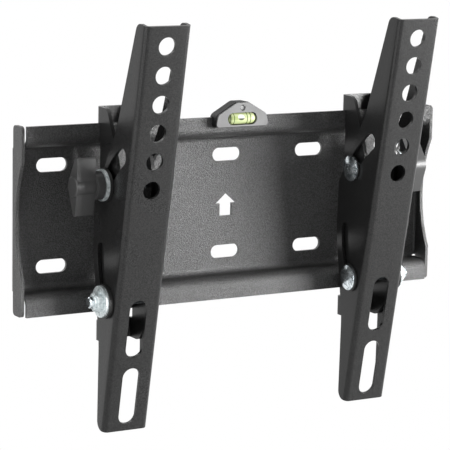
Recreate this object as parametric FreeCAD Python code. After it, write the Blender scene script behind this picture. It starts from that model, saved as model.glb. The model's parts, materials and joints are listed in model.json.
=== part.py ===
import FreeCAD, Part
import math
import os

# Tilting wall mount for a flat television, in millimetres.
# X runs to the viewer's right, Y into the wall and Z up, so the front of the mount is at negative Y.
# Most outlines are drawn as (depth, height): the distance out from the wall, and the height above
# the middle of the wall plate. Each piece is lowered by wall_slot_rise as it's written, which puts
# the origin on the plate's back face, midway between the two rows of wall slots.

# Wall plate: one folded steel sheet
plate_sheet = 1.8
plate_bend = 4.0
plate_height = 101.6
plate_depth = 14.9
channel_height = 78.0
lip_half_length = 127.9
cheek_depth = 13.7
cheek_gap = 0.9
cheek_bend = 1.5
cheek_corner = 2.5
cheek_waist = 8.6
cheek_waist_half = 34.0
cheek_bend_half = 38.2
wall_slot_length = 18.2
wall_slot_width = 7.5
wall_slot_pitch = 53.7
wall_slot_rows = 54.7
wall_slot_rise = 0.7
wall_slot_columns = 5
arrow_tip = 6.3
arrow_shoulder = 0.4
arrow_foot = -6.6
arrow_head_half = 6.75
arrow_stem_half = 3.9

# Spirit level clipped over the top lip
level_x = -0.8
level_base_half = 17.0
level_shoulder_half = 15.6
level_crown_half = 3.6
level_base_z = 45.2
level_shoulder_z = 52.3
level_crown_z = 59.2
level_front = 4.8
level_face_sheet = 1.2
level_face_inset = 0.5
level_skirt = 1.2
level_skirt_drop = 4.0
level_roof = 1.2
level_fit = 0.1
vial_length = 18.3
vial_radius = 3.3
vial_z = 49.9
vial_proud = 0.5
level_floor = 0.7
pin_radius = 1.3
pin_hole_radius = 1.6
pin_sunk = 0.5
pin_z = 55.9

# Tilting arms: a channel with six round holes and two long slots in its face
left_arm_x = -74.4
right_arm_x = 80.5
arm_width = 26.8
arm_sheet = 1.8
arm_bend = 1.2
arm_over = 10.6
arm_length = 225.4
tv_hole_radius = 4.9
tv_hole_pitch = 15.5
tv_hole_count = 6
tv_slot_length = 32.6
tv_slot_width = 10.2
tv_slot_first = 155.6
tv_slot_second = 194.6
flange_top_depth = 9.8
flange_neck_at = 49.0
flange_neck_depth = 19.8
flange_belly_at = 93.5
flange_belly_depth = 36.6
flange_heel_at = 122.0
flange_heel_depth = 32.0
flange_tail_at = 168.0
flange_tail_depth = 15.6
flange_foot_depth = 7.6
flange_corner = 5.0

# Tilt: each arm swings about an axis that lies in front of its face, on two curved slots
tilt_room = 11.05
tilt_axis_z = -15.8
face_behind_axis = 33.05
top_hole_above_axis = 107.0
tilt_shown = 11.0
tilt_down_limit = 12.0
tilt_up_limit = 10.0
slot_end_play = 0.6
lower_slot_extra = 6.2
knob_slot_extra = 0.4
knob_slot_width = 9.4
lower_slot_width = 6.8

# Hook brackets: a folded channel inside each arm, open to the front. Its back wall is left only
# behind the top lip, where it hooks on, and under the plate's bottom edge.
bracket_sheet = 2.0
bracket_bend = 1.0
bracket_side_gap = 0.45
bracket_run_gap = 0.3
hook_slack = 0.8
hook_leg_drop = 7.6
hook_height = 8.4
bracket_front = 35.2
bracket_shoulder_z = 28.1
bracket_brow_depth = 22.4
bracket_knee_depth = 29.0
bracket_knee_z = 46.0
tab_top_z = -56.2
bracket_foot_z = -67.0
bracket_toe_depth = 22.5
bracket_toe_z = -53.0

# Knob bolt and lower bolt, both with a six millimetre shank
bolt_radius = 3.0
bolt_hole_radius = 3.2
knob_bolt_depth = 27.0
knob_bolt_z = 19.7
lower_bolt_depth = 27.8
lower_bolt_z = -42.6
neck_square = 6.0
neck_corner_radius = 3.6
neck_fit = 0.15
knob_head_radius = 7.3
lower_head_radius = 7.0
head_height = 2.4
running_gap = 0.3
washer_radius = 9.0
steel_washer_radius = 8.5
washer_bore = 3.2
steel_washer = 1.6
knob_slide_washer = 1.6
knob_seat_washer = 0.6
lower_slide_washer = 2.0
lower_seat_washer = 1.0
lower_plastic_radius = 9.4
nut_flats = 10.0
nut_hex = 3.2
nut_collar = 1.0
nut_collar_radius = 4.2
lower_bolt_proud = 2.4

# Knob
collar_radius = 7.6
collar_length = 4.3
wing_length = 10.9
wing_half_span = 15.6
wing_tip_ahead = 1.5
wing_tip_half = 1.0
wing_front = 4.2
wing_back = 7.7
wing_back_radius = 7.0
wing_front_radius = 12.0
wing_hub_radius = 5.2
wing_edge = 0.8
cap_radius = 5.7
cap_height = 0.9
left_knob_turn = 4.3
right_knob_turn = 172.0
thread_clearance = 0.05
insert_radius = 4.5
insert_length = 10.0
bolt_end_gap = 1.5

lip_top = plate_height / 2
lip_rear = plate_depth - plate_sheet
outer_bend = plate_bend + plate_sheet
cheek_outer_bend = cheek_bend + plate_sheet
cheek_inner_x = lip_half_length + cheek_gap
cheek_outer_x = cheek_inner_x + plate_sheet
bracket_half = arm_width / 2 - arm_sheet - bracket_side_gap
face_depth = bracket_front + tilt_room
tilt_axis_depth = face_depth + face_behind_axis
top_hole_z = tilt_axis_z + top_hole_above_axis
right_of = FreeCAD.Vector(1, 0, 0)


def place(x, depth, z):
    return FreeCAD.Vector(x, -depth, z)


def rounded_outline(points, radii, x=0.0):
    """Closed wire in the plane at x through (depth, z) points, each corner rounded by its radius."""
    corners = [place(x, depth, z) for depth, z in points]
    edges = []
    starts = []
    ends = []
    arcs = []
    count = len(corners)
    for i, corner in enumerate(corners):
        back = (corners[i - 1] - corner).normalize()
        ahead = (corners[(i + 1) % count] - corner).normalize()
        half_angle = back.getAngle(ahead) / 2
        reach = radii[i] / math.tan(half_angle)
        start = corner + back * reach
        end = corner + ahead * reach
        starts.append(start)
        ends.append(end)
        if radii[i] > 0:
            middle_way = (back + ahead).normalize()
            middle = corner + middle_way * (radii[i] / math.sin(half_angle) - radii[i])
            arcs.append(Part.Arc(start, middle, end).toShape())
        else:
            arcs.append(None)
    for i in range(count):
        if arcs[i] is not None:
            edges.append(arcs[i])
        following = (i + 1) % count
        if ends[i].distanceToPoint(starts[following]) > 1e-6:
            edges.append(Part.makeLine(ends[i], starts[following]))
    return Part.Wire(edges)


def slab(points, radii, x_from, x_to):
    """Solid with a (depth, z) outline, running from one x to another."""
    face = Part.Face(rounded_outline(points, radii, x_from))
    return face.extrude(FreeCAD.Vector(x_to - x_from, 0, 0))


def box(x_from, x_to, depth_from, depth_to, z_from, z_to):
    corner = FreeCAD.Vector(x_from, -depth_to, z_from)
    return Part.makeBox(x_to - x_from, depth_to - depth_from, z_to - z_from, corner)


def rod(x_from, x_to, radius, depth, z):
    """Cylinder along X between two x values given in either order."""
    low = min(x_from, x_to)
    return Part.makeCylinder(radius, abs(x_to - x_from), place(low, depth, z), right_of)


def stadium(length, width, x, z, depth_from, depth_to):
    """Long hole with round ends that runs along X, as a solid to cut with."""
    half = (length - width) / 2
    body = box(x - half, x + half, depth_from, depth_to, z - width / 2, z + width / 2)
    for end in (x - half, x + half):
        round_end = Part.makeCylinder(width / 2, depth_to - depth_from, place(end, depth_to, z),
                                      FreeCAD.Vector(0, 1, 0))
        body = body.fuse(round_end)
    return body.removeSplitter()


def tall_slot(length, width, x, z, depth_from, depth_to):
    """Long hole with round ends that runs up and down, as a solid to cut with."""
    half = (length - width) / 2
    body = box(x - width / 2, x + width / 2, depth_from, depth_to, z - half, z + half)
    for end in (z - half, z + half):
        round_end = Part.makeCylinder(width / 2, depth_to - depth_from, place(x, depth_to, end),
                                      FreeCAD.Vector(0, 1, 0))
        body = body.fuse(round_end)
    return body.removeSplitter()


def tilted(shape, angle):
    """Turn a shape about the tilt axis, positive with its top coming forward."""
    turned = shape.copy()
    turned.rotate(place(0, tilt_axis_depth, tilt_axis_z), right_of, angle)
    return turned


def channel_section():
    """Back web, two shelves and two lips, drawn along the sheet from lip to lip."""
    shelf_inner = channel_height / 2
    shelf_outer = shelf_inner + plate_sheet
    front = [
        (plate_depth, lip_top), (plate_depth, shelf_inner), (plate_sheet, shelf_inner),
        (plate_sheet, -shelf_inner), (plate_depth, -shelf_inner), (plate_depth, -lip_top),
    ]
    rear = [
        (lip_rear, -lip_top), (lip_rear, -shelf_outer), (0, -shelf_outer),
        (0, shelf_outer), (lip_rear, shelf_outer), (lip_rear, lip_top),
    ]
    front_radii = [0, outer_bend, plate_bend, plate_bend, outer_bend, 0]
    rear_radii = [0, plate_bend, outer_bend, outer_bend, plate_bend, 0]
    return front + rear, front_radii + rear_radii


def cheek(side):
    """End wall folded forward from the web, with its waisted front edge."""
    low, high = sorted((side * cheek_inner_x, side * cheek_outer_x))
    rear = cheek_outer_bend
    outline = [(rear, lip_top), (cheek_depth, lip_top), (cheek_depth, -lip_top), (rear, -lip_top)]
    wall = slab(outline, [cheek_corner] * len(outline), low, high)
    waist_radius = (cheek_waist_half ** 2 + cheek_waist ** 2) / (2 * cheek_waist)
    centre_depth = plate_depth - cheek_waist + waist_radius
    wall = wall.cut(rod(low - 1, high + 1, waist_radius, centre_depth, 0))
    bend_x = side * (cheek_outer_x - rear)
    centre = place(bend_x, rear, -cheek_bend_half)
    up = FreeCAD.Vector(0, 0, 1)
    bend = Part.makeCylinder(rear, 2 * cheek_bend_half, centre, up)
    bend = bend.cut(Part.makeCylinder(cheek_bend, 2 * cheek_bend_half, centre, up))
    near, far = sorted((bend_x, side * cheek_outer_x))
    bend = bend.common(box(near, far, 0, rear, -cheek_bend_half, cheek_bend_half))
    return wall.fuse(bend)


def arrow_cut():
    """Upward arrow punched through the web, for marking the upright way round."""
    half_outline = [
        (0, arrow_tip), (arrow_head_half, arrow_shoulder), (arrow_stem_half, arrow_shoulder),
        (arrow_stem_half, arrow_foot),
    ]
    mirrored = [(-x, z) for x, z in reversed(half_outline[1:])]
    points = [place(x, -1, z) for x, z in half_outline + mirrored]
    wire = Part.makePolygon(points + [points[0]])
    return Part.Face(wire).extrude(FreeCAD.Vector(0, -plate_sheet - 2, 0))


def wall_plate():
    outline, radii = channel_section()
    plate = slab(outline, radii, -lip_half_length, lip_half_length)
    bend_x = cheek_outer_x - cheek_outer_bend
    for side in (-1, 1):
        near, far = sorted((side * (bend_x - cheek_gap), side * (lip_half_length + 1)))
        for end in (-1, 1):
            low, high = sorted((end * cheek_bend_half, end * (channel_height / 2 + outer_bend)))
            plate = plate.cut(box(near, far, -1, cheek_outer_bend + cheek_gap, low, high))
        near, far = sorted((side * bend_x, side * (lip_half_length + 1)))
        inside = cheek_bend_half + 1
        plate = plate.cut(box(near, far, -1, cheek_outer_bend + cheek_gap, -inside, inside))
        plate = plate.fuse(cheek(side))
    first = -(wall_slot_columns - 1) / 2
    for column in range(wall_slot_columns):
        x = (first + column) * wall_slot_pitch
        for row in (-0.5, 0.5):
            z = wall_slot_rise + row * wall_slot_rows
            plate = plate.cut(stadium(wall_slot_length, wall_slot_width, x, z, -1, plate_sheet + 1))
    plate = plate.cut(arrow_cut())
    return plate.removeSplitter()


def level_outline(inset=0.0):
    """Front view of the level: upright ends, sloping shoulders and a short crown."""
    right = [
        (level_base_half - inset, level_base_z + inset), (level_shoulder_half - inset, level_shoulder_z),
        (level_crown_half, level_crown_z - inset),
    ]
    left = [(-x, z) for x, z in reversed(right)]
    return right + left


def front_view_solid(points, radii, depth_from, depth_to):
    """Solid whose outline is drawn as seen from the front, between two depths."""
    outline = rounded_outline(points, radii)
    solid = Part.Face(outline).extrude(FreeCAD.Vector(depth_to - depth_from, 0, 0))
    # the outline was drawn in the depth and height plane, so it is turned to face the viewer
    solid.rotate(FreeCAD.Vector(0, 0, 0), FreeCAD.Vector(0, 0, 1), 90)
    return solid.translated(FreeCAD.Vector(0, -depth_to, 0))


def vial_window(depth_from, depth_to):
    length = vial_length + 2 * level_fit
    return stadium(length, 2 * (vial_radius + level_fit), level_x, vial_z, depth_from, depth_to)


def pin_hole(depth_from, depth_to):
    return Part.makeCylinder(pin_hole_radius, depth_to - depth_from, place(level_x, depth_to, pin_z),
                             FreeCAD.Vector(0, 1, 0))


def level_housing():
    front = plate_depth + level_front - level_face_sheet
    rear = lip_rear - level_fit - level_skirt
    radii = [2.0, 3.5, 4.0, 4.0, 3.5, 2.0]
    body = front_view_solid(level_outline(), radii, rear, front)
    body = body.translated(FreeCAD.Vector(level_x, 0, 0))
    slot_top = lip_top + level_fit
    wide = level_base_half + 2
    lip_slot = box(level_x - wide, level_x + wide, lip_rear - level_fit, plate_depth,
                   level_base_z - 3, slot_top)
    body = body.cut(lip_slot)
    skirt_end = lip_top - level_skirt_drop
    below_skirt = box(level_x - wide, level_x + wide, rear - 1, lip_rear, level_base_z - 3, skirt_end)
    body = body.cut(below_skirt)
    body = body.cut(vial_window(plate_depth + level_floor, front + 1))
    return body.cut(pin_hole(lip_rear + 1, front + 1)).removeSplitter()


def level_face():
    """Pale front plate that lies on the housing, a little smaller all round."""
    front = plate_depth + level_front
    radii = [1.6, 3.2, 3.6, 3.6, 3.2, 1.6]
    face = front_view_solid(level_outline(level_face_inset), radii, front - level_face_sheet, front)
    face = face.translated(FreeCAD.Vector(level_x, 0, 0))
    return face.cut(vial_window(lip_rear, front + 1)).cut(pin_hole(lip_rear, front + 1)).removeSplitter()


def level_vial():
    """Barrel-shaped vial with a flat back, a little proud of its window."""
    back = plate_depth + level_floor + level_fit
    centre_depth = plate_depth + level_front + vial_proud - vial_radius
    half = vial_length / 2 - vial_radius
    vial = rod(level_x - half, level_x + half, vial_radius, centre_depth, vial_z)
    for end in (-half, half):
        vial = vial.fuse(Part.makeSphere(vial_radius, place(level_x + end, centre_depth, vial_z)))
    vial = vial.removeSplitter()
    behind = box(level_x - vial_length, level_x + vial_length, back - 2 * vial_radius, back,
                 vial_z - 2 * vial_radius, vial_z + 2 * vial_radius)
    return vial.cut(behind)


def level_pin():
    """Small pin that closes the level, sunk a little below its face."""
    front = plate_depth + level_front
    start = lip_rear + 1
    return Part.makeCylinder(pin_radius, front - pin_sunk - start, place(level_x, front - pin_sunk, pin_z),
                             FreeCAD.Vector(0, 1, 0))


def arm_outline():
    """Side view of an upright arm, from the top of its face down to its foot."""
    top = top_hole_z + arm_over
    foot = top - arm_length
    points = [
        (face_depth, top),
        (face_depth - flange_top_depth, top),
        (face_depth - flange_neck_depth, top_hole_z - flange_neck_at),
        (face_depth - flange_belly_depth, top_hole_z - flange_belly_at),
        (face_depth - flange_heel_depth, top_hole_z - flange_heel_at),
        (face_depth - flange_tail_depth, top_hole_z - flange_tail_at),
        (face_depth - flange_foot_depth, foot),
        (face_depth, foot),
    ]
    radii = [0, flange_corner, 28.0, 7.0, 26.0, 60.0, flange_corner, 0]
    return points, radii


def curved_slot(bolt_depth, bolt_z, width, extra):
    """Slot in an upright arm that lets a fixed bolt through over the whole tilt."""
    run = bolt_depth - tilt_axis_depth
    rise = bolt_z - tilt_axis_z
    radius = math.hypot(run, rise)
    low = -tilt_down_limit - slot_end_play
    high = tilt_up_limit + slot_end_play + extra
    middle = (low + high) / 2

    def turned_place(distance, angle):
        """Point at a distance from the tilt axis, on the bolt's ray turned by an angle."""
        turn = math.radians(angle)
        unit_depth = run / radius
        unit_z = rise / radius
        depth = unit_depth * math.cos(turn) + unit_z * math.sin(turn)
        height = unit_z * math.cos(turn) - unit_depth * math.sin(turn)
        x = -arm_width
        return place(x, tilt_axis_depth + distance * depth, tilt_axis_z + distance * height)

    inner = radius - width / 2
    outer = radius + width / 2
    play_low = math.degrees(width / 2 / radius)
    inner_arc = Part.Arc(turned_place(inner, low), turned_place(inner, middle), turned_place(inner, high))
    outer_arc = Part.Arc(turned_place(outer, low), turned_place(outer, middle), turned_place(outer, high))
    low_cap = Part.Arc(turned_place(inner, low), turned_place(radius, low - play_low),
                       turned_place(outer, low))
    high_cap = Part.Arc(turned_place(inner, high), turned_place(radius, high + play_low),
                        turned_place(outer, high))
    edges = [arc.toShape() for arc in (inner_arc, low_cap, outer_arc, high_cap)]
    wire = Part.Wire(Part.__sortEdges__(edges))
    return Part.Face(wire).extrude(FreeCAD.Vector(2 * arm_width, 0, 0))


def round_long_edges(solid, radius, depth_test):
    """Round the edges that run along the outer front corners of a channel."""
    chosen = []
    for edge in solid.Edges:
        if all(depth_test(vertex.Point) for vertex in edge.Vertexes) and len(edge.Vertexes) == 2:
            first, second = (vertex.Point for vertex in edge.Vertexes)
            if abs(first.x - second.x) < 1e-6:
                chosen.append(edge)
    return solid.makeFillet(radius, chosen)


def round_upright_edges(solid, radius, depth):
    """Round the upright edges that lie at one depth."""
    chosen = []
    for edge in solid.Edges:
        first, second = (vertex.Point for vertex in edge.Vertexes)
        upright = abs(first.z - second.z) > radius
        if upright and abs(-first.y - depth) < 1e-6 and abs(-second.y - depth) < 1e-6:
            chosen.append(edge)
    return solid.makeFillet(radius, chosen)


def tilt_arm(centre_x):
    points, radii = arm_outline()
    half = arm_width / 2
    top = points[0][1]
    foot = points[-1][1]
    arm = slab(points, radii, -half, half)
    arm = round_long_edges(arm, arm_bend + arm_sheet, lambda point: abs(-point.y - face_depth) < 1e-6)
    hollow_half = half - arm_sheet
    hollow_front = face_depth - arm_sheet
    hollow = box(-hollow_half, hollow_half, hollow_front - 2 * flange_belly_depth, hollow_front,
                 foot - 1, top + 1)
    hollow = round_long_edges(hollow, arm_bend, lambda point: abs(-point.y - hollow_front) < 1e-6)
    arm = arm.cut(hollow)
    for index in range(tv_hole_count):
        z = top_hole_z - index * tv_hole_pitch
        start = place(0, face_depth + arm_sheet / 2, z)
        arm = arm.cut(Part.makeCylinder(tv_hole_radius, 2 * arm_sheet, start, FreeCAD.Vector(0, 1, 0)))
    for drop in (tv_slot_first, tv_slot_second):
        arm = arm.cut(tall_slot(tv_slot_length, tv_slot_width, 0, top_hole_z - drop,
                                hollow_front - 1, face_depth + 1))
    arm = arm.cut(curved_slot(knob_bolt_depth, knob_bolt_z, knob_slot_width, knob_slot_extra))
    arm = arm.cut(curved_slot(lower_bolt_depth, lower_bolt_z, lower_slot_width, lower_slot_extra))
    arm = tilted(arm.removeSplitter(), tilt_shown)
    return arm.translated(FreeCAD.Vector(centre_x, 0, 0))


def square_neck(x_from, x_to, depth, z, grow=0.0):
    """Square part of a bolt's shank, with its corners turned down."""
    side = neck_square / 2 + grow
    low, high = sorted((x_from, x_to))
    block = box(low, high, depth - side, depth + side, z - side, z + side)
    return block.common(rod(low, high, neck_corner_radius + grow, depth, z))


def bracket_channel(rear):
    """Upright channel with its web at the back and both sides reaching forward."""
    inner_half = bracket_half - bracket_sheet
    top = lip_top + bracket_run_gap + hook_height
    outside = box(-bracket_half, bracket_half, rear, bracket_front, bracket_foot_z, top)
    inside = box(-inner_half, inner_half, rear + bracket_sheet, bracket_front + 1,
                 bracket_foot_z - 1, top + 1)
    outside = round_upright_edges(outside, bracket_bend + bracket_sheet, rear)
    inside = round_upright_edges(inside, bracket_bend, rear + bracket_sheet)
    return outside.cut(inside)


def hook_bracket(centre_x, side):
    """Channel that hangs on the top lip and carries both bolts of its arm."""
    body_rear = plate_depth + bracket_run_gap
    leg_front = lip_rear - hook_slack
    leg_rear = leg_front - bracket_sheet
    throat_top = lip_top + bracket_run_gap
    hook_top = throat_top + hook_height
    leg_foot = throat_top - hook_leg_drop
    points = [
        (leg_rear, hook_top), (bracket_brow_depth, hook_top), (bracket_knee_depth, bracket_knee_z),
        (bracket_front, bracket_shoulder_z), (bracket_front, bracket_toe_z),
        (bracket_toe_depth, bracket_foot_z), (leg_rear, bracket_foot_z), (leg_rear, tab_top_z),
        (body_rear, tab_top_z), (body_rear, throat_top), (leg_front, throat_top),
        (leg_front, leg_foot), (leg_rear, leg_foot),
    ]
    radii = [0, 6.0, 30.0, 10.0, 8.0, 6.0, 0, 0, 1.2, 0.7, 0.7, 0, 0]
    profile = slab(points, radii, -bracket_half, bracket_half)
    bracket = bracket_channel(leg_rear).common(profile)
    inner_side = -side
    plain_side_start = side * (bracket_half - bracket_sheet - 1)
    bracket = bracket.cut(rod(plain_side_start, side * (bracket_half + 1), bolt_hole_radius,
                              knob_bolt_depth, knob_bolt_z))
    neck_start = inner_side * (bracket_half - bracket_sheet - 1)
    bracket = bracket.cut(square_neck(neck_start, inner_side * (bracket_half + 1),
                                      knob_bolt_depth, knob_bolt_z, neck_fit))
    bracket = bracket.cut(rod(-bracket_half - 1, bracket_half + 1, bolt_hole_radius,
                              lower_bolt_depth, lower_bolt_z))
    return bracket.removeSplitter().translated(FreeCAD.Vector(centre_x, 0, 0))


def washer(x_from, x_to, radius, depth, z):
    ring = rod(x_from, x_to, radius, depth, z)
    low, high = sorted((x_from, x_to))
    return ring.cut(rod(low - 1, high + 1, washer_bore, depth, z))


def square_washer_hole(shape, x_from, x_to, depth, z):
    low, high = sorted((x_from, x_to))
    return shape.cut(square_neck(low - 1, high + 1, depth, z, neck_fit))


def domed_head(x_base, outward, radius, depth, z):
    """Shallow domed bolt head that stands out from x_base."""
    rim = head_height * 0.25
    rise = head_height - rim
    ball_radius = (radius ** 2 + rise ** 2) / (2 * rise)
    ball_x = head_height - ball_radius
    half_way = math.asin(radius / ball_radius) / 2
    base = place(x_base, depth, z)
    base_edge = place(x_base, depth, z + radius)
    rim_edge = place(x_base + outward * rim, depth, z + radius)
    slope = place(x_base + outward * (ball_x + ball_radius * math.cos(half_way)), depth,
                  z + ball_radius * math.sin(half_way))
    crown = place(x_base + outward * head_height, depth, z)
    half_section = Part.Wire([
        Part.makeLine(base, base_edge), Part.makeLine(base_edge, rim_edge),
        Part.Arc(rim_edge, slope, crown).toShape(), Part.makeLine(crown, base),
    ])
    return Part.Face(half_section).revolve(base, right_of, 360)


def knob_bolt(centre_x, side):
    """Bolt with a domed head on the inner side and a square neck that its bracket holds still."""
    inward = -side
    head_base = centre_x + inward * (arm_width / 2 + running_gap + knob_seat_washer)
    neck_end = centre_x + inward * (bracket_half - bracket_sheet)
    shank_end = knob_face_x(centre_x, side) + side * (insert_length - bolt_end_gap)
    bolt = domed_head(head_base, inward, knob_head_radius, knob_bolt_depth, knob_bolt_z)
    bolt = bolt.fuse(square_neck(head_base, neck_end, knob_bolt_depth, knob_bolt_z))
    bolt = bolt.fuse(rod(head_base, shank_end, bolt_radius, knob_bolt_depth, knob_bolt_z))
    return bolt.removeSplitter()


def knob_face_x(centre_x, side):
    """Where the knob's collar starts, a running gap outside the steel washer."""
    stack = arm_width / 2 + running_gap + knob_slide_washer + steel_washer + running_gap
    return centre_x + side * stack


def wing_outline():
    """End view of the knob's wing: nearly flat ahead, deep and rounded behind, with two slim tips."""
    ahead = wing_tip_ahead + wing_tip_half
    behind = wing_tip_ahead - wing_tip_half
    steps = [
        (behind, wing_half_span), (ahead, wing_half_span), (wing_front, 0),
        (ahead, -wing_half_span), (behind, -wing_half_span), (-wing_back, 0),
    ]
    radii = [wing_edge, wing_edge, wing_front_radius, wing_edge, wing_edge, wing_back_radius]
    points = [(knob_bolt_depth + run, knob_bolt_z + rise) for run, rise in steps]
    return points, radii


def tilt_knob(centre_x, side):
    start = knob_face_x(centre_x, side)
    wing_start = start + side * collar_length
    wing_end = wing_start + side * wing_length
    knob = rod(start, wing_start, collar_radius, knob_bolt_depth, knob_bolt_z)
    points, radii = wing_outline()
    low, high = sorted((wing_start, wing_end))
    wing = slab(points, radii, low, high)
    wing = wing.fuse(rod(low, high, wing_hub_radius, knob_bolt_depth, knob_bolt_z))
    knob = knob.fuse(wing)
    cap = rod(wing_end, wing_end + side * cap_height, cap_radius, knob_bolt_depth, knob_bolt_z)
    rim = [edge for edge in cap.Edges
           if edge.Closed and abs(edge.CenterOfMass.x - wing_end) > cap_height / 2]
    cap = cap.makeChamfer(cap_height * 0.6, rim)
    knob = knob.fuse(cap)
    knob = knob.cut(rod(start - side, start + side * insert_length, insert_radius,
                        knob_bolt_depth, knob_bolt_z))
    knob = knob.removeSplitter()
    turn = left_knob_turn if side < 0 else right_knob_turn
    knob.rotate(place(0, knob_bolt_depth, knob_bolt_z), right_of, turn)
    return knob


def knob_insert(centre_x, side):
    """Threaded steel bush moulded into the knob."""
    start = knob_face_x(centre_x, side)
    bush = rod(start, start + side * insert_length, insert_radius, knob_bolt_depth, knob_bolt_z)
    return bush.cut(rod(start - side, start + side * insert_length, bolt_radius + thread_clearance,
                        knob_bolt_depth, knob_bolt_z))


def lower_bolt(centre_x, side):
    inward = -side
    head_base = centre_x + inward * (arm_width / 2 + running_gap + lower_seat_washer)
    end = lower_nut_x(centre_x, side) + side * (nut_hex + nut_collar + lower_bolt_proud)
    bolt = domed_head(head_base, inward, lower_head_radius, lower_bolt_depth, lower_bolt_z)
    shank = rod(head_base, end, bolt_radius, lower_bolt_depth, lower_bolt_z)
    rim = [edge for edge in shank.Edges if edge.Closed and abs(edge.CenterOfMass.x - end) < 1e-6]
    return bolt.fuse(shank.makeChamfer(bolt_radius * 0.2, rim)).removeSplitter()


def lower_nut_x(centre_x, side):
    return centre_x + side * (arm_width / 2 + running_gap + lower_slide_washer + steel_washer)


def lower_nut(centre_x, side):
    """Locking nut: chamfered hexagon with a round collar for its nylon ring."""
    start = lower_nut_x(centre_x, side)
    corner = nut_flats / 2 / math.cos(math.pi / 6)
    points = []
    for index in range(6):
        turn = math.radians(60 * index + 30)
        points.append(place(start, lower_bolt_depth + corner * math.cos(turn),
                            lower_bolt_z + corner * math.sin(turn)))
    outline = Part.Face(Part.makePolygon(points + [points[0]]))
    hexagon = outline.extrude(FreeCAD.Vector(side * nut_hex, 0, 0))
    base_radius = nut_flats / 2 * 1.25
    cone = Part.makeCone(base_radius, nut_flats / 2 * 1.02, nut_hex,
                         place(start, lower_bolt_depth, lower_bolt_z), FreeCAD.Vector(side, 0, 0))
    hexagon = hexagon.common(cone)
    collar = rod(start + side * nut_hex, start + side * (nut_hex + nut_collar), nut_collar_radius,
                 lower_bolt_depth, lower_bolt_z)
    rim = [edge for edge in collar.Edges
           if edge.Closed and abs(edge.CenterOfMass.x - start) > nut_hex + nut_collar / 2]
    collar = collar.makeChamfer(nut_collar * 0.45, rim)
    nut = hexagon.fuse(collar)
    nut = nut.cut(rod(start - side, start + side * (nut_hex + nut_collar + 1), bolt_radius,
                      lower_bolt_depth, lower_bolt_z))
    return nut.removeSplitter()


def side_pieces(name, centre_x, side):
    """Every piece of one arm, with its knob facing outward."""
    outer = centre_x + side * (arm_width / 2 + running_gap)
    inner = centre_x - side * (arm_width / 2 + running_gap)
    knob_steel_start = outer + side * knob_slide_washer
    lower_steel_start = outer + side * lower_slide_washer
    knob_seat = rod(inner, inner - side * knob_seat_washer, knob_head_radius, knob_bolt_depth, knob_bolt_z)
    pieces = {
        "tilt_arm": tilt_arm(centre_x),
        "hook_bracket": hook_bracket(centre_x, side),
        "knob_bolt": knob_bolt(centre_x, side),
        "knob_seat_washer": square_washer_hole(knob_seat, inner, inner - side * knob_seat_washer,
                                               knob_bolt_depth, knob_bolt_z),
        "knob_slide_washer": washer(outer, knob_steel_start, washer_radius, knob_bolt_depth, knob_bolt_z),
        "knob_steel_washer": washer(knob_steel_start, knob_steel_start + side * steel_washer,
                                    steel_washer_radius, knob_bolt_depth, knob_bolt_z),
        "tilt_knob": tilt_knob(centre_x, side),
        "knob_insert": knob_insert(centre_x, side),
        "lower_bolt": lower_bolt(centre_x, side),
        "lower_seat_washer": washer(inner, inner - side * lower_seat_washer, lower_head_radius + 0.9,
                                    lower_bolt_depth, lower_bolt_z),
        "lower_slide_washer": washer(outer, lower_steel_start, lower_plastic_radius,
                                     lower_bolt_depth, lower_bolt_z),
        "lower_steel_washer": washer(lower_steel_start, lower_steel_start + side * steel_washer,
                                     steel_washer_radius, lower_bolt_depth, lower_bolt_z),
        "lower_nut": lower_nut(centre_x, side),
    }
    return {name + "_" + piece: shape for piece, shape in pieces.items()}


def build():
    parts = {
        "wall_plate": wall_plate(),
        "level_housing": level_housing(),
        "level_face": level_face(),
        "level_vial": level_vial(),
        "level_pin": level_pin(),
    }
    parts.update(side_pieces("left", left_arm_x, -1))
    parts.update(side_pieces("right", right_arm_x, 1))
    os.makedirs("parts", exist_ok=True)
    for node, shape in parts.items():
        solid = shape.Solids[0].translated(FreeCAD.Vector(0, 0, -wall_slot_rise))
        solid.exportStep("parts/" + node + ".step")
        print(node, len(shape.Solids), "solid", round(solid.Volume, 1), "mm3", "valid", solid.isValid())


build()
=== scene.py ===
import json
import math

import bpy
from mathutils import Matrix, Vector


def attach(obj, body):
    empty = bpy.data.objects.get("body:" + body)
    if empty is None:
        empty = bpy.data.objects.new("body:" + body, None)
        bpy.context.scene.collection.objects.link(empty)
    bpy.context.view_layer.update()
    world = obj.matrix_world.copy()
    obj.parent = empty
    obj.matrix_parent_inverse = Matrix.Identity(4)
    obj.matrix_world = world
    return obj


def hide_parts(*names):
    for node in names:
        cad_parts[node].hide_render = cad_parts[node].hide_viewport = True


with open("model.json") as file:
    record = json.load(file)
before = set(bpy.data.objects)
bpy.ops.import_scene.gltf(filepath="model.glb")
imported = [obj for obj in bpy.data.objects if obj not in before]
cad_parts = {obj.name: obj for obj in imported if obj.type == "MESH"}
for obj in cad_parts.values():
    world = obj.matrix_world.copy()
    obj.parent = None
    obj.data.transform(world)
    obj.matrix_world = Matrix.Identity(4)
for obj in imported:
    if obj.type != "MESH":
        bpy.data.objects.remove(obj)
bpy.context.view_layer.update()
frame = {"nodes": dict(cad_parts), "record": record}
print("frame loaded with", len(frame["nodes"]), "nodes")

sides = ("left", "right")


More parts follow.
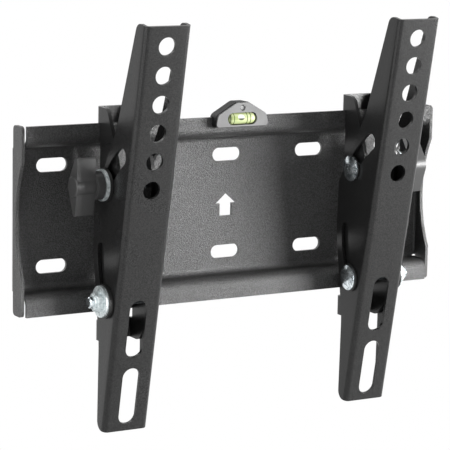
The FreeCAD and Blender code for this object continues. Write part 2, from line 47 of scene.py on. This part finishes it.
# one wire of a shader, so that sums on values can be written as they are said
class Signal:
    def __init__(self, shader, socket):
        self.shader = shader
        self.socket = socket

    def joined(self, operation, first, second):
        return self.shader.node("ShaderNodeMath", {"operation": operation}, {0: first, 1: second})

    def __add__(self, other):
        return self.joined("ADD", self, other)

    def __radd__(self, other):
        return self.joined("ADD", other, self)

    def __sub__(self, other):
        return self.joined("SUBTRACT", self, other)

    def __rsub__(self, other):
        return self.joined("SUBTRACT", other, self)

    def __mul__(self, other):
        return self.joined("MULTIPLY", self, other)

    def __rmul__(self, other):
        return self.joined("MULTIPLY", other, self)

    def __gt__(self, other):
        return self.joined("GREATER_THAN", self, other)

    def __abs__(self):
        return self.shader.node("ShaderNodeMath", {"operation": "ABSOLUTE"}, {0: self})


class Shader:
    def __init__(self, tree):
        self.tree = tree

    # any node but a sum: its settings first, then the values or wires of its sockets
    def node(self, kind, settings, sockets, output=0):
        added = self.tree.nodes.new(kind)
        for name, value in settings.items():
            if name == "stops":
                self.setStops(added.color_ramp, value)
            else:
                setattr(added, name, value)
        for name, value in sockets.items():
            self.feed(added.inputs[name], value)
        return Signal(self, added.outputs[output])

    def setStops(self, ramp, stops):
        while len(ramp.elements) < len(stops):
            ramp.elements.new(0.5)
        for element, (place, colour) in zip(ramp.elements, stops):
            element.position = place
            element.color = colour

    def feed(self, socket, value):
        if isinstance(value, Signal):
            self.tree.links.new(value.socket, socket)
        else:
            socket.default_value = value

    # 1 for what the camera sees, straight, in a reflection or through glass, and 0 for the light in the room
    def inView(self):
        path = self.tree.nodes.new("ShaderNodeLightPath")
        seen = Signal(self, path.outputs["Is Camera Ray"])
        for way in ("Is Glossy Ray", "Is Transmission Ray"):
            seen = self.node("ShaderNodeMath", {"operation": "MAXIMUM"},
                             {0: seen, 1: Signal(self, path.outputs[way])})
        return seen


class Finish(Shader):
    def __init__(self, name):
        self.material = bpy.data.materials.new(name)
        self.material.use_nodes = True
        super().__init__(self.material.node_tree)
        self.surface = self.tree.nodes["Principled BSDF"]
        self.output = self.tree.nodes["Material Output"]

    def set(self, **values):
        for name, value in values.items():
            self.feed(self.surface.inputs[name.replace("_", " ")], value)

    def place(self):
        return self.node("ShaderNodeTexCoord", {}, {}, "Object")

    # how far a point lies along X, Y or Z, in metres
    def along(self, axis):
        return self.node("ShaderNodeSeparateXYZ", {}, {0: self.place()}, axis)

    def noise(self, scale, detail=2.0, roughness=0.5, stretch=(1.0, 1.0, 1.0)):
        spot = self.node("ShaderNodeMapping", {}, {"Vector": self.place(), "Scale": stretch})
        return self.node("ShaderNodeTexNoise", {},
                         {"Vector": spot, "Scale": scale, "Detail": detail, "Roughness": roughness}, "Fac")

    # a noise lies about a half, so this swings to both sides of zero
    def swing(self, noise, spread):
        return (noise - 0.5) * spread

    def ramp(self, signal, places, colours):
        stops = list(zip(places, colours))
        return self.node("ShaderNodeValToRGB", {"stops": stops}, {"Fac": signal}, "Color")

    def mix(self, share, first, second):
        return self.node("ShaderNodeMix", {"data_type": "RGBA"}, {0: share, 6: first, 7: second}, 2)

    def bump(self, height, look):
        return self.node("ShaderNodeBump", {},
                         {"Height": height, "Strength": look["bump"], "Distance": look["depth"]}, "Normal")


def grey(level):
    return (level, level, level, 1.0)


# powder coat: a fine pebbled skin over nearly black paint, which glints where a lamp is mirrored in it; its
# colour is also paler on the pebble crests and darker in the hollows, a painted glint and painted shade
coatSkin = {"pebbleDetail": 1.5, "gritScale": 2.6, "gritDetail": 1.0, "gritHeight": 0.35,
            "shadedHollowToGlintCrest": (0.4, 0.62), "uneven": 0.08}


def powderCoat(name, look):
    finish = Finish(name)
    pebbles = finish.noise(look["grain"], coatSkin["pebbleDetail"])
    grit = finish.noise(look["grain"] * coatSkin["gritScale"], coatSkin["gritDetail"])
    patches = finish.noise(look["patch"])
    # the colour follows the pebble height: painted shade in the hollows and a painted glint on the crests
    finish.set(Base_Color=finish.ramp(pebbles, coatSkin["shadedHollowToGlintCrest"], look["colours"]),
               Roughness=look["roughness"] + finish.swing(patches, coatSkin["uneven"]),
               Normal=finish.bump(pebbles + grit * coatSkin["gritHeight"], look),
               Specular_IOR_Level=look["shine"])
    return finish.material


# moulded plastic: almost smooth, with the faint texture of its mould
mouldSkin = {"detail": 3.0, "fineness": 0.6, "darkToLight": (0.35, 0.65), "uneven": 0.15}


def mouldedPlastic(name, look):
    finish = Finish(name)
    texture = finish.noise(look["grain"], mouldSkin["detail"], mouldSkin["fineness"])
    patches = finish.noise(look["patch"])
    finish.set(Base_Color=finish.ramp(patches, mouldSkin["darkToLight"], look["colours"]),
               Roughness=look["roughness"] + finish.swing(texture, mouldSkin["uneven"]),
               Normal=finish.bump(texture, look),
               Specular_IOR_Level=look["shine"])
    return finish.material


# zinc plating: bright, slightly blue, with soft mottling and faint turning marks
zincSkin = {"detail": 4.0, "fineness": 0.65, "darkToLight": (0.36, 0.62), "uneven": 0.2,
            "marksStretch": (1.0, 0.12, 0.12), "mottleHeight": 0.5}


def zincPlate(name, look):
    finish = Finish(name)
    mottle = finish.noise(look["mottle"], zincSkin["detail"], zincSkin["fineness"])
    marks = finish.noise(look["marks"], stretch=zincSkin["marksStretch"])
    finish.set(Base_Color=finish.ramp(mottle, zincSkin["darkToLight"], look["colours"]),
               Metallic=look["metal"],
               Roughness=look["roughness"] + finish.swing(mottle, zincSkin["uneven"]),
               Normal=finish.bump(marks + mottle * zincSkin["mottleHeight"], look))
    return finish.material


# grain, patch, mottle and marks are how many to the metre; a depth is in metres
finishes = {
    "platePaint": {"recipe": powderCoat, "grain": 1900.0, "patch": 14.0,
                   "colours": (grey(0.001), grey(0.050)),
                   "roughness": 0.34, "bump": 1.0, "depth": 0.00045, "shine": 0.6},
    "armPaint": {"recipe": powderCoat, "grain": 1700.0, "patch": 11.0,
                 "colours": (grey(0.008), grey(0.024)),
                 "roughness": 0.28, "bump": 1.0, "depth": 0.00006, "shine": 0.3},
    "bracketPaint": {"recipe": powderCoat, "grain": 1250.0, "patch": 13.0,
                     "colours": (grey(0.010), grey(0.018)),
                     "roughness": 0.28, "bump": 1.0, "depth": 0.00006, "shine": 0.3},
    "knobPlastic": {"recipe": mouldedPlastic, "grain": 2400.0, "patch": 60.0,
                    "colours": (grey(0.03), grey(0.042)),
                    "roughness": 0.42, "bump": 0.12, "depth": 0.0002, "shine": 0.5},
    "washerPlastic": {"recipe": mouldedPlastic, "grain": 2600.0, "patch": 90.0,
                      "colours": (grey(0.010), grey(0.018)),
                      "roughness": 0.45, "bump": 0.1, "depth": 0.0002, "shine": 0.4},
    "levelPlastic": {"recipe": mouldedPlastic, "grain": 2400.0, "patch": 70.0,
                     "colours": (grey(0.008), grey(0.012)),
                     "roughness": 0.6, "bump": 0.08, "depth": 0.0002, "shine": 0.2},
    # the level's front face: painted light grey where the black housing plastic catches the light, a painted
    # sheen
    "levelFaceSheen": {"recipe": mouldedPlastic, "grain": 2400.0, "patch": 70.0,
                  "colours": (grey(0.15), grey(0.19)),
                  "roughness": 0.6, "bump": 0.08, "depth": 0.0002, "shine": 0.25},
    "zincWasher": {"recipe": zincPlate, "mottle": 520.0, "marks": 900.0,
                   "colours": ((0.50, 0.56, 0.57, 1.0), (0.88, 0.93, 0.94, 1.0)),
                   "roughness": 0.42, "bump": 0.35, "depth": 0.0002, "metal": 0.6},
    "zincHead": {"recipe": zincPlate, "mottle": 520.0, "marks": 700.0,
                 "colours": ((0.30, 0.34, 0.37, 1.0), (0.86, 0.92, 0.94, 1.0)),
                 "roughness": 0.22, "bump": 0.45, "depth": 0.0003, "metal": 1.0},
}


# the vial: pale streaky liquid behind clear plastic, two dark rings each side of the middle, and a bubble
# painted pale above and dark below, a painted highlight and painted shade
vialLook = {"middle": -0.0021, "rings": (0.0041, 0.0062), "ringHalf": 0.00032,
            "ring": (0.05, 0.08, 0.01, 1.0),
            "streaks": 260.0, "streakStretch": (0.3, 1.0, 1.6), "streakPlaces": (0.3, 0.62),
            "liquid": ((0.28, 0.34, 0.12, 1.0), (0.52, 0.58, 0.32, 1.0)),
            "bubble": (-0.0018, 0.05005), "bubbleHalf": (0.0021, 0.0016), "bubbleLightShadePlaces": (0.24, 0.5),
            "bubbleLightShade": ((0.04, 0.05, 0.02, 1.0), (0.62, 0.64, 0.60, 1.0)),
            "roughness": 0.1, "clear": 1.0, "clearRoughness": 0.03}


def vialFinish():
    finish = Finish("vialLiquid")
    along = finish.along("X")
    away = abs(along - vialLook["middle"])
    onRing = 0.0
    for ring in vialLook["rings"]:
        onRing = onRing + finish.node("ShaderNodeMapRange", {},
                                      {"Value": abs(away - ring), "From Min": vialLook["ringHalf"],
                                       "From Max": vialLook["ringHalf"] * 0.5})
    streaks = finish.noise(vialLook["streaks"], stretch=vialLook["streakStretch"])
    liquid = finish.ramp(streaks, vialLook["streakPlaces"], vialLook["liquid"])
    ringed = finish.mix(onRing, liquid, vialLook["ring"])
    # the bubble is round in its own measure, 1 at its rim; its colour is a painted highlight that fades to
    # painted shade on its underside
    across = (along - vialLook["bubble"][0]) * (1 / vialLook["bubbleHalf"][0])
    up = (finish.along("Z") - vialLook["bubble"][1]) * (1 / vialLook["bubbleHalf"][1])
    inBubble = 1.0 - ((across * across + up * up) > 1.0)
    # a painted highlight on the bubble's upper part and painted shade on its underside
    bubbleLightShade = finish.ramp(up * 0.5 + 0.5, vialLook["bubbleLightShadePlaces"], vialLook["bubbleLightShade"])
    finish.set(Base_Color=finish.mix(inBubble, ringed, bubbleLightShade),
               Roughness=vialLook["roughness"],
               Coat_Weight=vialLook["clear"],
               Coat_Roughness=vialLook["clearRoughness"])
    return finish.material


# the level's small pin: a pale end with a painted shadow ring around it, the shade in the gap where it sits
# in its hole
pinLook = {"at": (-0.0012, 0.0553), "rim": 0.0008, "colours": (grey(0.16), grey(0.006)), "roughness": 0.5}


def pinWithShadowRing():
    finish = Finish("levelPinShadowRing")
    across = finish.along("X") - pinLook["at"][0]
    up = finish.along("Z") - pinLook["at"][1]
    # outside the pin's rim the colour is a painted shadow ring, the shade in the gap around the pin
    ring = (across * across + up * up) > pinLook["rim"] ** 2
    finish.set(Base_Color=finish.ramp(ring, (0.4, 0.6), pinLook["colours"]), Roughness=pinLook["roughness"])
    return finish.material


made = {name: look["recipe"](name, look) for name, look in finishes.items()}
made["vial"] = vialFinish()
made["pin"] = pinWithShadowRing()
print("finishes made:", ", ".join(made))

# each arm has one of each of these
pairedFinish = {
    "tilt_arm": "armPaint",
    "hook_bracket": "bracketPaint",
    "knob_bolt": "zincHead",
    "knob_seat_washer": "washerPlastic",
    "knob_slide_washer": "washerPlastic",
    "knob_steel_washer": "zincWasher",
    "tilt_knob": "knobPlastic",
    "knob_insert": "zincWasher",
    "lower_bolt": "zincHead",
    "lower_seat_washer": "washerPlastic",
    "lower_slide_washer": "washerPlastic",
    "lower_steel_washer": "zincWasher",
    "lower_nut": "zincWasher",
}
nodeFinish = {
    "wall_plate": "platePaint",
    "level_housing": "levelPlastic",
    "level_face": "levelFaceSheen",
    "level_vial": "vial",
    "level_pin": "pin",
}
for side in sides:
    for kind, finishName in pairedFinish.items():
        nodeFinish[side + "_" + kind] = finishName


def dress(thing, material):
    thing.data.materials.clear()
    thing.data.materials.append(material)


for nodeName, finishName in nodeFinish.items():
    dress(frame["nodes"][nodeName], made[finishName])
print("nodes dressed:", len(nodeFinish))

bodyOf = {}
for bodyName, members in frame["record"]["behaviour"]["bodies"].items():
    for member in members:
        bodyOf[member] = bodyName


def deselectAll():
    bpy.ops.object.select_all(action="DESELECT")


def workOn(thing):
    deselectAll()
    thing.select_set(True)
    bpy.context.view_layer.objects.active = thing


easing = {"merge": 0.000002, "flat": math.radians(0.6), "sharp": math.radians(32.0), "steps": 2}


# a piece as it leaves the press or the mould: its node's shape, with the sharp edges a little rounded
def easeEdges(nodeName, pieceName, edge):
    piece = bpy.data.objects.new(pieceName, frame["nodes"][nodeName].data.copy())
    bpy.context.collection.objects.link(piece)
    workOn(piece)
    bpy.ops.mesh.customdata_custom_splitnormals_clear()
    bpy.ops.object.mode_set(mode="EDIT")
    bpy.ops.mesh.select_all(action="SELECT")
    bpy.ops.mesh.remove_doubles(threshold=easing["merge"])
    bpy.ops.mesh.dissolve_limited(angle_limit=easing["flat"])
    bpy.ops.object.mode_set(mode="OBJECT")
    bpy.ops.object.shade_smooth()
    bevel = piece.modifiers.new("edges", "BEVEL")
    bevel.width = edge
    bevel.segments = easing["steps"]
    bevel.limit_method = "ANGLE"
    bevel.angle_limit = easing["sharp"]
    bevel.harden_normals = True
    bpy.ops.object.modifier_apply(modifier=bevel.name)
    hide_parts(nodeName)
    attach(piece, bodyOf[nodeName])
    print(piece.name, "has", len(piece.data.polygons), "faces")


plateEdge = 0.00038
pairedEdges = {
    "tilt_arm": {"piece": "arm_eased", "edge": 0.0004},
    "hook_bracket": {"piece": "bracket_eased", "edge": 0.0003},
    "tilt_knob": {"piece": "knob_eased", "edge": 0.0005},
}
easeEdges("wall_plate", "wall_plate_eased", plateEdge)
for kind, look in pairedEdges.items():
    for side in sides:
        easeEdges(side + "_" + kind, side + "_" + look["piece"], look["edge"])

studio = {"floorDrop": -0.45, "floorHalf": 6.0, "floorGrey": 0.42}


# the floor is white in view, and a plain grey surface to the light in the room
def floorFinish():
    finish = Finish("floorWhite")
    plain = finish.node("ShaderNodeBsdfDiffuse", {}, {"Color": grey(studio["floorGrey"])})
    glow = finish.node("ShaderNodeEmission", {}, {"Color": grey(1.0), "Strength": 1.0})
    mixed = finish.node("ShaderNodeMixShader", {}, {0: finish.inView(), 1: plain, 2: glow})
    finish.feed(finish.output.inputs["Surface"], mixed)
    return finish.material


def layFloor():
    deselectAll()
    bpy.ops.mesh.primitive_plane_add(size=2 * studio["floorHalf"], location=(0, 0, studio["floorDrop"]))
    floor = bpy.context.object
    floor.name = "floor"
    dress(floor, floorFinish())


layFloor()

# every lamp is aimed at the middle of the wall plate; the powers are in watts
lamps = [
    {"name": "keyLamp", "at": (0.88, -0.82, 0.1), "size": (0.6, 0.32), "power": 40.0},
    {"name": "leftLamp", "at": (-1.2, -0.15, 0.2), "size": (0.5, 1.0), "power": 5.0},
    {"name": "stripLamp", "at": (-1.0, -0.62, -0.15), "size": (0.16, 1.3), "power": 3.5},
    {"name": "rimLamp", "at": (-0.2, 1.0, 0.6), "size": (0.6, 0.4), "power": 4.0},
    {"name": "rightLamp", "at": (1.1, 0.28, 0.3), "size": (0.5, 0.8), "power": 10.0},
    {"name": "topLamp", "at": (0.0, -0.2, 1.2), "size": (1.0, 0.6), "power": 3.0},
]


def hangLamp(lamp):
    light = bpy.data.lights.new(lamp["name"], "AREA")
    light.shape = "RECTANGLE"
    light.size, light.size_y = lamp["size"]
    light.energy = lamp["power"]
    holder = bpy.data.objects.new(lamp["name"], light)
    bpy.context.collection.objects.link(holder)
    at = Vector(lamp["at"])
    turn = (-at).to_track_quat("-Z", "Y")
    holder.matrix_world = Matrix.Translation(at) @ turn.to_matrix().to_4x4()


for lamp in lamps:
    hangLamp(lamp)

worldLook = {"front": 0.03, "back": 0.7, "backIs": (-0.4, 0.92, 0.0), "from": -0.2, "to": 0.6}


# the room is white in view; its own light is brighter behind and to the left, and dim where the lamps stand
def lightWorld():
    world = bpy.data.worlds.new("studioWorld")
    bpy.context.scene.world = world
    world.use_nodes = True
    shader = Shader(world.node_tree)
    towards = shader.node("ShaderNodeTexCoord", {}, {}, "Generated")
    backward = shader.node("ShaderNodeVectorMath", {"operation": "DOT_PRODUCT"},
                           {0: towards, 1: worldLook["backIs"]}, "Value")
    room = shader.node("ShaderNodeMapRange", {"interpolation_type": "SMOOTHSTEP"},
                       {"Value": backward, "From Min": worldLook["from"], "From Max": worldLook["to"],
                        "To Min": worldLook["front"], "To Max": worldLook["back"]})
    strength = shader.node("ShaderNodeMapRange", {},
                           {"Value": shader.inView(), "To Min": room, "To Max": 1.0})
    background = shader.tree.nodes["Background"]
    shader.feed(background.inputs["Color"], grey(1.0))
    shader.feed(background.inputs["Strength"], strength)


lightWorld()
bpy.context.scene.view_settings.view_transform = "Standard"
print("studio lit")

# the camera that the photograph was taken with, solved from the holes and edges that it shows
photoCamera = {
    "at": (-0.6116, -1.0463, 0.1962),
    "right": (0.8644, -0.5025, 0.0189),
    "up": (0.0694, 0.1566, 0.9852),
    "back": (-0.4980, -0.8503, 0.1702),
    "lens": 176.09,
    "sensor": 36.0,
    "pixelsAcross": 450,
    "pixelsOff": (-0.5, 0.5),
    "farthest": 100.0,
}


def placeCamera(settings):
    lens = bpy.data.cameras.new("photoCamera")
    lens.lens = settings["lens"]
    lens.sensor_width = settings["sensor"]
    lens.shift_x, lens.shift_y = (off / settings["pixelsAcross"] for off in settings["pixelsOff"])
    lens.clip_end = settings["farthest"]
    holder = bpy.data.objects.new("photoCamera", lens)
    bpy.context.collection.objects.link(holder)
    axes = Matrix((settings["right"], settings["up"], settings["back"])).transposed().to_4x4()
    holder.matrix_world = Matrix.Translation(Vector(settings["at"])) @ axes
    bpy.context.scene.camera = holder


placeCamera(photoCamera)
print("camera placed")
